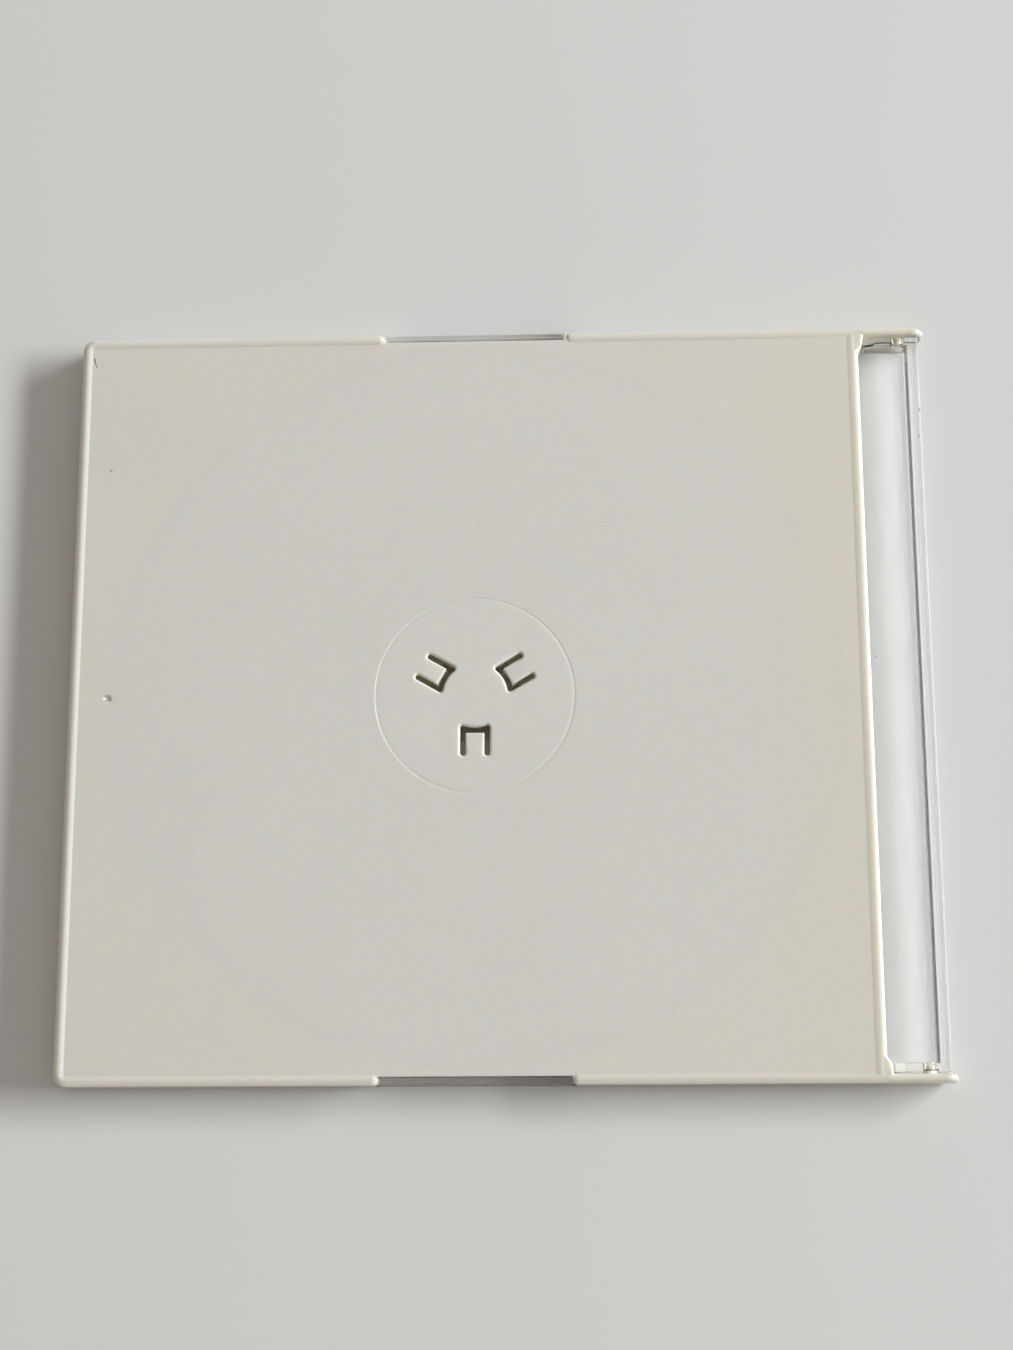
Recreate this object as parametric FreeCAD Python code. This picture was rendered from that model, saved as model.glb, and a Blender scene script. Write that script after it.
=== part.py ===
import FreeCAD, Part
import math
import os

# Slim compact disc case, closed, lying on its clear front with the back of the tray upwards.
# All sizes are in millimetres.
# The origin is the middle of the outline on the surface that the case lies on.
# +X points to the hinge side, +Y runs along the hinge and +Z is up through the back of the tray.

# Disc, which sets the size of the case round it
DISC_DIAMETER = 120.0
DISC_HOLE = 15.0
DISC_THICKNESS = 1.2
DISC_EDGE_CHAMFER = 0.12
STACKING_RING_DIAMETER = 34.4
STACKING_RING_WIDTH = 0.8
STACKING_RING_HEIGHT = 0.18

# Outline of the case, from the edge of the disc to the outside
LONG_SIDE_MARGIN = 2.5
OPENING_MARGIN = 6.5
HINGE_MARGIN = 4.25
ARM_REACH = 11.25
CORNER_RADIUS = 2.0

# Layers of the case, from the table upwards
LID_THICKNESS = 1.1
SHEET_SPACE = 0.55
TAB_THICKNESS = 0.4
DISC_CLEARANCE = 0.3
STACKING_CLEARANCE = 0.07
BACK_THICKNESS = 1.2
RIM_HEIGHT = 0.2

# Tray: one opaque moulding with a raised rim round its back
RIM_WIDTH = 1.8
RIM_FALL = 0.32
HINGE_SIDE_LIFT = 0.1
LIFT_LENGTH = 14.0
PARTING_GAP = 0.1
NOTCH_LENGTH = 30.6
NOTCH_DEPTH = 1.3
WELL_CLEARANCE = 0.5
CORNER_PAD_THICKNESS = 0.85
SEAT_GAP = 0.5
LEDGE_WIDTH = 1.4
LEDGE_DROP = 0.05

# Hinge arms of the tray and their pins
ARM_THICKNESS = 1.4
ARM_TIP_ROUNDING = 2.2
ARM_ROUNDING = 0.65
HEEL_SETBACK = 0.1
GUSSET_LENGTH = 2.6
GUSSET_WIDTH = 1.0
GUSSET_STEP_LENGTH = 0.8
GUSSET_STEP_WIDTH = 0.7
GUSSET_DROP = 0.05
GUSSET_ROUNDING = 0.45
HINGE_FROM_TIP = 4.4
PIN_DIAMETER = 2.2
PIN_CHAMFER = 0.3
PIN_CLEARANCE = 0.05
PIN_END_GAP = 0.3

# Hub: spring tongues cut by U slots, each with a tooth that grips the disc
SPRING_COUNT = 3
FIRST_SPRING_ANGLE = 30.0
HUB_CLEARANCE = 0.2
HUB_WALL = 1.02
HUB_OVER_DISC = 0.3
SLOT_WIDTH = 0.96
SLOT_CORNER_RADIUS = 0.45
SLOT_LIP_CHAMFER = 0.28
TONGUE_WIDTH = 2.98
TONGUE_ROOT = 2.75
TONGUE_SINK = 0.14
TOOTH_GRIP = 0.15
TOOTH_HEAD = 0.55
TOOTH_PLAY = 0.05
SEAT_INSET = 0.65

# Moulding marks on the back of the tray
WITNESS_RADIUS = 16.4
WITNESS_WIDTH = 0.6
WITNESS_LAND = 0.1
WITNESS_DEPTH = 0.06
GATE_PIT_DIAMETER = 1.4
GATE_PIT_DEPTH = 0.3
GATE_PIT_INSET = 0.4

# Clear lid: front plate, spine wall, end walls with the hinge bores, and notch walls
LID_EDGE_CHAMFER = 0.2
WALL_TOP_DROP = 0.3
WALL_TOP_ROUNDING = 0.25
SPINE_SETBACK = 1.2
SPINE_WALL = 1.75
SPINE_DRAFT = 0.25
SPINE_LEDGE_WIDTH = 0.5
SPINE_LEDGE_DROP = 0.3
END_WALL = 1.4
END_WALL_GAP = 0.25
END_WALL_CLEARANCE = 0.3
END_WALL_SLOPE = 1.3
ARM_SLOT_GAP = 0.3
PIN_RAMP_DEPTH = 0.4
NOTCH_WALL_GAP = 0.2
NOTCH_WALL_SETBACK = 0.05
NOTCH_END_GAP = 0.3
NOTCH_WALL_DROP = 0.1

# Tabs on the notch walls that hold a printed sheet against the front
TAB_LENGTH = 9.0
TAB_REACH = 2.2
TAB_INSET = 1.7

# Levels, from the table upwards
TAB_Z = LID_THICKNESS + SHEET_SPACE
DISC_FACE_Z = TAB_Z + TAB_THICKNESS + DISC_CLEARANCE
SEAT_Z = DISC_FACE_Z + DISC_THICKNESS
FLOOR_Z = SEAT_Z + STACKING_RING_HEIGHT + STACKING_CLEARANCE
BACK_Z = FLOOR_Z + BACK_THICKNESS
CASE_THICKNESS = BACK_Z + RIM_HEIGHT
HINGE_Z = CASE_THICKNESS / 2
WALL_FOOT_Z = LID_THICKNESS + PARTING_GAP
LID_WALL_Z = CASE_THICKNESS - WALL_TOP_DROP
NOTCH_WALL_Z = BACK_Z - NOTCH_WALL_DROP

# Places across and along the case
HUB_FROM_LEFT = OPENING_MARGIN + DISC_DIAMETER / 2
TRAY_WIDTH = HUB_FROM_LEFT + DISC_DIAMETER / 2 + HINGE_MARGIN
CASE_WIDTH = TRAY_WIDTH + ARM_REACH
CASE_LENGTH = DISC_DIAMETER + 2 * LONG_SIDE_MARGIN
LEFT = -CASE_WIDTH / 2
TIP_X = CASE_WIDTH / 2
HUB_X = LEFT + HUB_FROM_LEFT
TRAY_RIGHT = LEFT + TRAY_WIDTH
HINGE_X = TIP_X - HINGE_FROM_TIP
LID_RIGHT = TIP_X - SPINE_SETBACK
SIDE_Y = CASE_LENGTH / 2
RIM_CREST = RIM_WIDTH / 2
RIM_CREST_Y = SIDE_Y - RIM_CREST
SILL_Y = SIDE_Y - NOTCH_DEPTH
ARM_INNER_Y = SIDE_Y - ARM_THICKNESS
END_WALL_Y = ARM_INNER_Y - END_WALL_GAP
NOTCH_LEFT = HUB_X - NOTCH_LENGTH / 2
NOTCH_RIGHT = HUB_X + NOTCH_LENGTH / 2

# Radii round the hinge axis
PIN_RADIUS = PIN_DIAMETER / 2
HEEL_RADIUS = HINGE_X - TRAY_RIGHT - HEEL_SETBACK
END_WALL_SWING = HINGE_X - TRAY_RIGHT - GUSSET_WIDTH - END_WALL_CLEARANCE
ARM_SLOT_X = HINGE_X - HEEL_RADIUS - ARM_SLOT_GAP

# Radii round the hub axis
WELL_RADIUS = DISC_DIAMETER / 2 + WELL_CLEARANCE
HUB_RADIUS = DISC_HOLE / 2 - HUB_CLEARANCE
TONGUE_END = HUB_RADIUS - HUB_WALL
SLOT_INNER_RADIUS = TONGUE_END - SLOT_WIDTH
SLOT_REACH = HUB_RADIUS + TONGUE_ROOT
SLOT_HALF = TONGUE_WIDTH / 2 + SLOT_WIDTH
SEAT_INNER_RADIUS = SLOT_REACH + SEAT_INSET
SEAT_OUTER_RADIUS = (STACKING_RING_DIAMETER - STACKING_RING_WIDTH) / 2 - SEAT_GAP
HUB_TOP_Z = DISC_FACE_Z - HUB_OVER_DISC
TOOTH_TOP_Z = DISC_FACE_Z - TOOTH_HEAD

# A cutting tool reaches this far past what it cuts, so that no faces coincide.
OVERCUT = 1.0
# Two places nearer than this are the same place when edges are looked up.
NEAR = 1e-4


def vec(x, y, z=0.0):
    """Point or direction."""
    return FreeCAD.Vector(x, y, z)


def box(x0, x1, y0, y1, z0, z1):
    """Block between two corners."""
    return Part.makeBox(x1 - x0, y1 - y0, z1 - z0, vec(x0, y0, z0))


def plan_prism(points, z0, z1):
    """Straight-sided block on an outline in the XY plane."""
    corners = [vec(x, y, z0) for x, y in points]
    face = Part.Face(Part.makePolygon(corners + corners[:1]))
    return face.extrude(vec(0, 0, z1 - z0))


def side_prism(points, y0, y1):
    """Block with an outline in the XZ plane, from y0 to y1."""
    corners = [vec(x, y0, z) for x, z in points]
    face = Part.Face(Part.makePolygon(corners + corners[:1]))
    return face.extrude(vec(0, y1 - y0, 0))


def upright(radius, z0, z1, x=HUB_X, y=0.0):
    """Upright cylinder, on the hub axis unless told otherwise."""
    return Part.makeCylinder(radius, z1 - z0, vec(x, y, z0))


def ring(inner, outer, z0, z1):
    """Flat ring round the hub axis."""
    return upright(outer, z0, z1).cut(upright(inner, z0 - OVERCUT, z1 + OVERCUT))


def turned(profile):
    """Solid of revolution round the hub axis from (radius, z) points."""
    corners = [vec(HUB_X + r, 0, z) for r, z in profile]
    face = Part.Face(Part.makePolygon(corners + corners[:1]))
    return face.revolve(vec(HUB_X, 0, 0), vec(0, 0, 1), 360)


def along_hinge(radius, y0, y1):
    """Cylinder on the hinge axis."""
    return Part.makeCylinder(radius, y1 - y0, vec(HINGE_X, y0, HINGE_Z), vec(0, 1, 0))


def mirrored(shape):
    """The same shape on the other long side of the case."""
    return shape.mirror(vec(0, 0, 0), vec(0, 1, 0))


def both_sides(shape):
    """A shape on one long side and its mirror image."""
    return [shape, mirrored(shape)]


def edges_where(shape, test):
    """Edges whose two ends and middle all pass the test."""
    found = []
    for edge in shape.Edges:
        first, last = edge.ParameterRange
        spots = [edge.valueAt(first), edge.valueAt((first + last) / 2), edge.valueAt(last)]
        if all(test(spot) for spot in spots):
            found.append(edge)
    return found


def at_height(shape, z):
    """Edges that lie in the horizontal plane at z."""
    return edges_where(shape, lambda spot: abs(spot.z - z) < NEAR)


def corner_rounded(shape, spots, radius):
    """Rounds the upright edges that stand on the (x, y) spots."""
    chosen = []
    for x, y in spots:
        chosen += edges_where(shape, lambda spot: math.hypot(spot.x - x, spot.y - y) < NEAR)
    return shape.makeFillet(radius, chosen)


def crown_arc(along, u, drop):
    """Arc over half of the rim, from a place u inwards of the outer face to the crest."""
    middle = (u + RIM_CREST) / 2
    return Part.Arc(along(u, CASE_THICKNESS - drop), along(middle, CASE_THICKNESS - drop / 4),
                    along(RIM_CREST, CASE_THICKNESS)).toShape()


def half_section(along):
    """Outer half of the rim's section: upright outside, and falling in an arc from its crest.

    along(u, z) gives the point at a distance u inwards from the outer face.
    """
    return Part.Face(Part.Wire([
        Part.makeLine(along(0, WALL_FOOT_Z), along(0, CASE_THICKNESS - RIM_FALL)),
        crown_arc(along, 0, RIM_FALL),
        Part.makeLine(along(RIM_CREST, CASE_THICKNESS), along(RIM_CREST, WALL_FOOT_Z)),
        Part.makeLine(along(RIM_CREST, WALL_FOOT_Z), along(0, WALL_FOOT_Z)),
    ]))


def full_section(along, inner_drop=RIM_FALL):
    """Whole section of the rim. It falls alike on both sides of its crest unless told otherwise."""
    return Part.Face(Part.Wire([
        Part.makeLine(along(0, WALL_FOOT_Z), along(0, CASE_THICKNESS - RIM_FALL)),
        crown_arc(along, 0, RIM_FALL),
        crown_arc(along, RIM_WIDTH, inner_drop),
        Part.makeLine(along(RIM_WIDTH, CASE_THICKNESS - inner_drop), along(RIM_WIDTH, WALL_FOOT_Z)),
        Part.makeLine(along(RIM_WIDTH, WALL_FOOT_Z), along(0, WALL_FOOT_Z)),
    ]))


def side_rail(x0, x1):
    """Rim along the +Y side, from x0 to x1."""
    section = full_section(lambda u, z: vec(x0, SIDE_Y - u, z))
    return section.extrude(vec(x1 - x0, 0, 0))


def rail_nose(x, turn):
    """Round end of the +Y rim at the finger notch, centred on x."""
    section = half_section(lambda u, z: vec(x, SIDE_Y - u, z))
    return section.revolve(vec(x, RIM_CREST_Y, 0), vec(0, 0, 1), turn)


def left_rim():
    """Wall and rim round the opening side, up to the finger notches."""
    corner_x = LEFT + CORNER_RADIUS
    corner_y = SIDE_Y - CORNER_RADIUS
    nose_x = NOTCH_LEFT - RIM_CREST
    section = full_section(lambda u, z: vec(LEFT + u, -corner_y, z))
    front = section.extrude(vec(0, 2 * corner_y, 0))
    section = full_section(lambda u, z: vec(corner_x, SIDE_Y - u, z))
    corner = section.revolve(vec(corner_x, corner_y, 0), vec(0, 0, 1), 90)
    pieces = []
    for piece in (corner, side_rail(corner_x, nose_x), rail_nose(nose_x, -180)):
        pieces += both_sides(piece)
    return front.multiFuse(pieces)


def heel_point(z):
    """Point of the arm's round heel at a height below the hinge."""
    drop = HINGE_Z - z
    return vec(HINGE_X - math.sqrt(HEEL_RADIUS ** 2 - drop ** 2), ARM_INNER_Y, z)


def hinge_arm():
    """Hinge arm from the side: a round tip, and a heel that turns clear of the lid."""
    root_foot = vec(TRAY_RIGHT, ARM_INNER_Y, WALL_FOOT_Z)
    root_top = vec(TRAY_RIGHT, ARM_INNER_Y, CASE_THICKNESS)
    tip_top = vec(TIP_X, ARM_INNER_Y, CASE_THICKNESS)
    tip_foot = vec(TIP_X, ARM_INNER_Y, 0)
    heel_foot, heel_middle, heel_top = [heel_point(z) for z in (0, WALL_FOOT_Z / 2, WALL_FOOT_Z)]
    outline = Part.Wire([
        Part.makeLine(root_foot, root_top),
        Part.makeLine(root_top, tip_top),
        Part.makeLine(tip_top, tip_foot),
        Part.makeLine(tip_foot, heel_foot),
        Part.Arc(heel_foot, heel_middle, heel_top).toShape(),
        Part.makeLine(heel_top, root_foot),
    ])
    blank = Part.Face(outline).extrude(vec(0, ARM_THICKNESS, 0))
    corners = edges_where(blank, lambda spot: spot.x > TIP_X - NEAR
                          and min(spot.z, CASE_THICKNESS - spot.z) < NEAR)
    arm = blank.makeFillet(ARM_TIP_ROUNDING, corners)
    sides = edges_where(arm, lambda spot: min(spot.y - ARM_INNER_Y, SIDE_Y - spot.y) < NEAR
                        and (spot.z > CASE_THICKNESS - NEAR or spot.x > TIP_X - ARM_TIP_ROUNDING - NEAR)
                        and spot.z > HINGE_Z - NEAR)
    return arm.makeFillet(ARM_ROUNDING, sides)


def gusset():
    """Web in the corner between the right rim and an arm, which steps the rim out to the arm."""
    root_x = TRAY_RIGHT - RIM_CREST
    buried_y = ARM_INNER_Y + ARM_THICKNESS / 2
    foot_y = ARM_INNER_Y - GUSSET_LENGTH
    outline = [
        (root_x, foot_y), (TRAY_RIGHT, foot_y),
        (TRAY_RIGHT + GUSSET_STEP_WIDTH, foot_y + GUSSET_STEP_LENGTH),
        (TRAY_RIGHT + GUSSET_WIDTH, ARM_INNER_Y), (TRAY_RIGHT + GUSSET_WIDTH, buried_y), (root_x, buried_y),
    ]
    top = CASE_THICKNESS - GUSSET_DROP
    web = plan_prism(outline, WALL_FOOT_Z, top)
    outer = [edge for edge in at_height(web, top) if edge.CenterOfMass.x > TRAY_RIGHT + NEAR
             and edge.CenterOfMass.y < buried_y - NEAR]
    return web.makeFillet(GUSSET_ROUNDING, outer)


def right_rim():
    """Wall and rim along the hinge side, with the arms that reach past it."""
    nose_x = NOTCH_RIGHT + RIM_CREST
    section = full_section(lambda u, z: vec(TRAY_RIGHT - u, -RIM_CREST_Y, z), RIM_HEIGHT - HINGE_SIDE_LIFT)
    hinge_side = section.extrude(vec(0, 2 * RIM_CREST_Y, 0))
    pieces = []
    for piece in (side_rail(nose_x, TRAY_RIGHT), rail_nose(nose_x, 180), gusset(), hinge_arm()):
        pieces += both_sides(piece)
    return hinge_side.multiFuse(pieces)


def hinge_pin():
    """Pin on the inner face of the +Y arm, chamfered so that it snaps into the lid."""
    length = END_WALL_GAP + END_WALL - PIN_END_GAP
    pin = along_hinge(PIN_RADIUS, ARM_INNER_Y - length, ARM_INNER_Y + ARM_THICKNESS / 2)
    free_end = edges_where(pin, lambda spot: spot.y < ARM_INNER_Y - length + NEAR)
    return pin.makeChamfer(PIN_CHAMFER, free_end)


def hinge_side_lift():
    """Gentle rise of the back plate towards the hinge side, where the rim hardly stands proud."""
    x2 = TRAY_RIGHT - RIM_CREST
    x1 = TRAY_RIGHT - RIM_WIDTH
    x0 = x1 - LIFT_LENGTH
    top = BACK_Z + HINGE_SIDE_LIFT
    return side_prism(
        [(x0, FLOOR_Z), (x0, BACK_Z), (x1, top), (x2, top), (x2, FLOOR_Z)],
        -RIM_CREST_Y, RIM_CREST_Y,
    )


def back_plate():
    """Back of the tray with the raised pads that form the disc well."""
    buried = RIM_CREST
    reach = (LEFT + buried, TRAY_RIGHT - buried, -SIDE_Y + buried, SIDE_Y - buried)
    plate = box(*reach, FLOOR_Z, BACK_Z)
    pads = box(*reach, FLOOR_Z - CORNER_PAD_THICKNESS, FLOOR_Z)
    pads = pads.cut(upright(WELL_RADIUS, FLOOR_Z - CORNER_PAD_THICKNESS - OVERCUT, FLOOR_Z + OVERCUT))
    finger_gap = box(NOTCH_LEFT, NOTCH_RIGHT, -SIDE_Y, SIDE_Y,
                     FLOOR_Z - CORNER_PAD_THICKNESS - OVERCUT, FLOOR_Z)
    pads = pads.cut(finger_gap)
    ledge = ring(WELL_RADIUS - LEDGE_WIDTH, WELL_RADIUS, SEAT_Z + LEDGE_DROP, FLOOR_Z)
    seat = ring(SEAT_INNER_RADIUS, SEAT_OUTER_RADIUS, SEAT_Z, FLOOR_Z)
    plate = plate.multiFuse([pads, ledge, seat, hinge_side_lift()])
    notch = box(NOTCH_LEFT, NOTCH_RIGHT, SILL_Y, SIDE_Y + OVERCUT, 0, CASE_THICKNESS + OVERCUT)
    for cutter in both_sides(notch):
        plate = plate.cut(cutter)
    return plate.removeSplitter()


def to_spring(shape, index):
    """Turns a shape made along +X from the hub to its place round the hub."""
    angle = FIRST_SPRING_ANGLE + index * 360 / SPRING_COUNT
    placed = shape.copy()
    placed.rotate(vec(HUB_X, 0, 0), vec(0, 0, 1), angle)
    return placed


def slot_outline(z):
    """U-shaped outline round a tongue: its cross slot is an arc, its two legs have round ends."""
    tongue = TONGUE_WIDTH / 2
    leg_middle = (tongue + SLOT_HALF) / 2
    leg_end = SLOT_REACH - SLOT_WIDTH / 2
    corner = math.sqrt(SLOT_INNER_RADIUS ** 2 - SLOT_HALF ** 2)

    def at(u, v):
        return vec(HUB_X + u, v, z)

    return Part.Wire([
        Part.makeLine(at(corner, SLOT_HALF), at(leg_end, SLOT_HALF)),
        Part.Arc(at(leg_end, SLOT_HALF), at(SLOT_REACH, leg_middle), at(leg_end, tongue)).toShape(),
        Part.makeLine(at(leg_end, tongue), at(TONGUE_END, tongue)),
        Part.makeLine(at(TONGUE_END, tongue), at(TONGUE_END, -tongue)),
        Part.makeLine(at(TONGUE_END, -tongue), at(leg_end, -tongue)),
        Part.Arc(at(leg_end, -tongue), at(SLOT_REACH, -leg_middle), at(leg_end, -SLOT_HALF)).toShape(),
        Part.makeLine(at(leg_end, -SLOT_HALF), at(corner, -SLOT_HALF)),
        Part.Arc(at(corner, -SLOT_HALF), at(SLOT_INNER_RADIUS, 0), at(corner, SLOT_HALF)).toShape(),
    ])


def slot_cutter():
    """Tool for one U slot, through the hub wall and the back plate."""
    foot = TOOTH_TOP_Z - OVERCUT
    cutter = Part.Face(slot_outline(foot)).extrude(vec(0, 0, BACK_Z + OVERCUT - foot))
    corner = math.sqrt(SLOT_INNER_RADIUS ** 2 - SLOT_HALF ** 2)
    spots = [(HUB_X + corner, SLOT_HALF), (HUB_X + corner, -SLOT_HALF)]
    return corner_rounded(cutter, spots, SLOT_CORNER_RADIUS)


def sink_cutter():
    """Wedge that lets the back of a tongue lean inwards towards its free end."""
    root = SLOT_REACH - SLOT_WIDTH / 2
    past_end = TONGUE_END - SLOT_WIDTH / 2
    depth = TONGUE_SINK * (root - past_end) / (root - TONGUE_END)
    half = (TONGUE_WIDTH + SLOT_WIDTH) / 2
    return side_prism(
        [(HUB_X + root, BACK_Z), (HUB_X + past_end, BACK_Z - depth),
         (HUB_X + past_end, BACK_Z + OVERCUT), (HUB_X + root, BACK_Z + OVERCUT)],
        -half, half,
    )


def tooth():
    """Tooth on the free end of a tongue: it passes the hole of the disc and hooks over its face."""
    crest = DISC_HOLE / 2 + TOOTH_GRIP
    hook_z = DISC_FACE_Z - TOOTH_PLAY
    lead = TOOTH_HEAD / 2
    profile = [
        (TONGUE_END, FLOOR_Z), (TONGUE_END, TOOTH_TOP_Z), (HUB_RADIUS - lead, TOOTH_TOP_Z),
        (crest, hook_z - lead), (crest, hook_z - TOOTH_GRIP), (HUB_RADIUS, hook_z),
        (HUB_RADIUS, FLOOR_Z),
    ]
    half = TONGUE_WIDTH / 2
    window = box(HUB_X, HUB_X + SLOT_REACH, -half, half, TOOTH_TOP_Z - OVERCUT, FLOOR_Z)
    return turned(profile).common(window)


def with_hub(plate):
    """Adds the hub wall, and cuts it and the plate into fixed sectors and spring tongues."""
    hub = plate.fuse(ring(TONGUE_END, HUB_RADIUS, HUB_TOP_Z, FLOOR_Z))
    for index in range(SPRING_COUNT):
        hub = hub.cut(to_spring(slot_cutter(), index))
    lips = [edge for edge in at_height(hub, BACK_Z)
            if math.hypot(edge.CenterOfMass.x - HUB_X, edge.CenterOfMass.y) < SLOT_REACH]
    hub = hub.makeChamfer(SLOT_LIP_CHAMFER, lips)
    for index in range(SPRING_COUNT):
        hub = hub.fuse(to_spring(tooth(), index))
        hub = hub.cut(to_spring(sink_cutter(), index))
    return hub


def with_marks(plate):
    """Cuts the witness line round the hub and the gate pit at the edge of the well."""
    inner = WITNESS_RADIUS - WITNESS_WIDTH
    lowest = WITNESS_RADIUS - WITNESS_LAND
    groove = turned([
        (inner, BACK_Z), (lowest, BACK_Z - WITNESS_DEPTH), (WITNESS_RADIUS, BACK_Z),
        (WITNESS_RADIUS, BACK_Z + OVERCUT), (inner, BACK_Z + OVERCUT),
    ])
    mouth = GATE_PIT_DIAMETER / 2
    gate_x = HUB_X - WELL_RADIUS + GATE_PIT_INSET
    pit = Part.makeCone(mouth / 2, mouth, GATE_PIT_DEPTH, vec(gate_x, 0, BACK_Z - GATE_PIT_DEPTH))
    return plate.cut(groove).cut(pit)


def make_tray():
    """The whole tray as one moulding."""
    plate = with_marks(with_hub(back_plate()))
    parts = [left_rim(), right_rim()] + both_sides(hinge_pin())
    return plate.multiFuse(parts).removeSplitter()


def lid_plate():
    """Front plate, cut back on the hinge side where the arms turn."""
    plate = box(LEFT, LID_RIGHT, -SIDE_Y, SIDE_Y, 0, LID_THICKNESS)
    plate = corner_rounded(plate, [(LEFT, SIDE_Y), (LEFT, -SIDE_Y)], CORNER_RADIUS)
    slot = box(ARM_SLOT_X, LID_RIGHT + OVERCUT, END_WALL_Y, SIDE_Y + OVERCUT,
               -OVERCUT, LID_THICKNESS + OVERCUT)
    for cutter in both_sides(slot):
        plate = plate.cut(cutter)
    return plate


def spine_wall():
    """Wall along the hinge side, with draft on its inner face."""
    inner = LID_RIGHT - SPINE_WALL
    return side_prism(
        [(LID_RIGHT, 0), (LID_RIGHT, LID_WALL_Z), (inner, LID_WALL_Z),
         (inner - SPINE_DRAFT, LID_THICKNESS), (inner - SPINE_DRAFT, 0)],
        -END_WALL_Y, END_WALL_Y,
    )


def spine_ledge_cutter():
    """Tool for the narrow ledge along the top of the spine wall, on the channel's side."""
    inner = LID_RIGHT - SPINE_WALL
    y = END_WALL_Y - END_WALL
    return box(inner - OVERCUT, inner + SPINE_LEDGE_WIDTH, -y, y,
               LID_WALL_Z - SPINE_LEDGE_DROP, LID_WALL_Z + OVERCUT)


def end_wall():
    """End wall beside the +Y arm, sloped where the gusset of the tray swings past."""
    drop = HINGE_Z - LID_THICKNESS
    inner = HINGE_X - math.sqrt(END_WALL_SWING ** 2 - drop ** 2)
    return side_prism(
        [(inner, 0), (inner, HINGE_Z), (inner + END_WALL_SLOPE, LID_WALL_Z),
         (LID_RIGHT, LID_WALL_Z), (LID_RIGHT, 0)],
        END_WALL_Y - END_WALL, END_WALL_Y,
    )


def pin_ramp():
    """Shallow ramp down the outside of the +Y end wall that guides the pin to its bore."""
    half = PIN_RADIUS + PIN_CLEARANCE
    top = LID_WALL_Z + OVERCUT
    depth = PIN_RAMP_DEPTH * (top - HINGE_Z) / (LID_WALL_Z - HINGE_Z)
    corners = [vec(HINGE_X - half, END_WALL_Y + OVERCUT, HINGE_Z), vec(HINGE_X - half, END_WALL_Y, HINGE_Z),
               vec(HINGE_X - half, END_WALL_Y - depth, top), vec(HINGE_X - half, END_WALL_Y + OVERCUT, top)]
    face = Part.Face(Part.makePolygon(corners + corners[:1]))
    return face.extrude(vec(2 * half, 0, 0))


def notch_wall():
    """Wall that closes the +Y finger notch of the tray."""
    x0 = NOTCH_LEFT + NOTCH_END_GAP
    x1 = NOTCH_RIGHT - NOTCH_END_GAP
    y0 = SILL_Y + NOTCH_WALL_GAP
    y1 = SIDE_Y - NOTCH_WALL_SETBACK
    wall = box(x0, x1, y0, y1, 0, NOTCH_WALL_Z)
    rounding = min(WALL_TOP_ROUNDING, (y1 - y0) / 3)
    return wall.makeFillet(rounding, at_height(wall, NOTCH_WALL_Z))


def sheet_tabs():
    """The two half-moon tabs on the +Y notch wall."""
    wall_y = SILL_Y + NOTCH_WALL_GAP
    half = TAB_LENGTH / 2
    radius = (half ** 2 + TAB_REACH ** 2) / (2 * TAB_REACH)
    middle = NOTCH_LENGTH / 2 - NOTCH_END_GAP - TAB_INSET - half
    keep = box(HUB_X - NOTCH_LENGTH, HUB_X + NOTCH_LENGTH, wall_y - TAB_REACH,
               wall_y + NOTCH_WALL_GAP, TAB_Z, TAB_Z + TAB_THICKNESS)
    tabs = []
    for x in (HUB_X - middle, HUB_X + middle):
        moon = upright(radius, TAB_Z, TAB_Z + TAB_THICKNESS, x, wall_y - TAB_REACH + radius)
        tabs.append(moon.common(keep))
    return tabs


def make_lid():
    """The whole clear lid as one moulding."""
    walls = [spine_wall()] + both_sides(end_wall())
    lid = lid_plate().multiFuse(walls).removeSplitter()
    lid = lid.makeFillet(WALL_TOP_ROUNDING, at_height(lid, LID_WALL_Z))
    foot = [edge for edge in at_height(lid, 0) if edge.CenterOfMass.x < LID_RIGHT - NEAR]
    lid = lid.makeChamfer(LID_EDGE_CHAMFER, foot)
    lid = lid.cut(spine_ledge_cutter())
    extras = both_sides(notch_wall())
    for tab in sheet_tabs():
        extras += both_sides(tab)
    lid = lid.multiFuse(extras)
    bore = along_hinge(PIN_RADIUS + PIN_CLEARANCE, END_WALL_Y - END_WALL - OVERCUT, END_WALL_Y + OVERCUT)
    for cutter in both_sides(bore) + both_sides(pin_ramp()):
        lid = lid.cut(cutter)
    return lid.removeSplitter()


def make_disc():
    """Disc with chamfered edges and a stacking ring on its playing side."""
    inner = DISC_HOLE / 2
    outer = DISC_DIAMETER / 2
    chamfer = DISC_EDGE_CHAMFER
    middle = STACKING_RING_DIAMETER / 2
    foot = STACKING_RING_WIDTH / 2
    crest = foot / 2
    ring_z = SEAT_Z + STACKING_RING_HEIGHT
    return turned([
        (inner, DISC_FACE_Z + chamfer), (inner + chamfer, DISC_FACE_Z),
        (outer - chamfer, DISC_FACE_Z), (outer, DISC_FACE_Z + chamfer),
        (outer, SEAT_Z - chamfer), (outer - chamfer, SEAT_Z),
        (middle + foot, SEAT_Z), (middle + crest, ring_z),
        (middle - crest, ring_z), (middle - foot, SEAT_Z),
        (inner + chamfer, SEAT_Z), (inner, SEAT_Z - chamfer),
    ])


def save(name, shape):
    """Writes one piece to its own file."""
    shape.exportStep("parts/" + name + ".step")


os.makedirs("parts", exist_ok=True)
save("tray", make_tray())
save("clear_lid", make_lid())
save("disc", make_disc())
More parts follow.
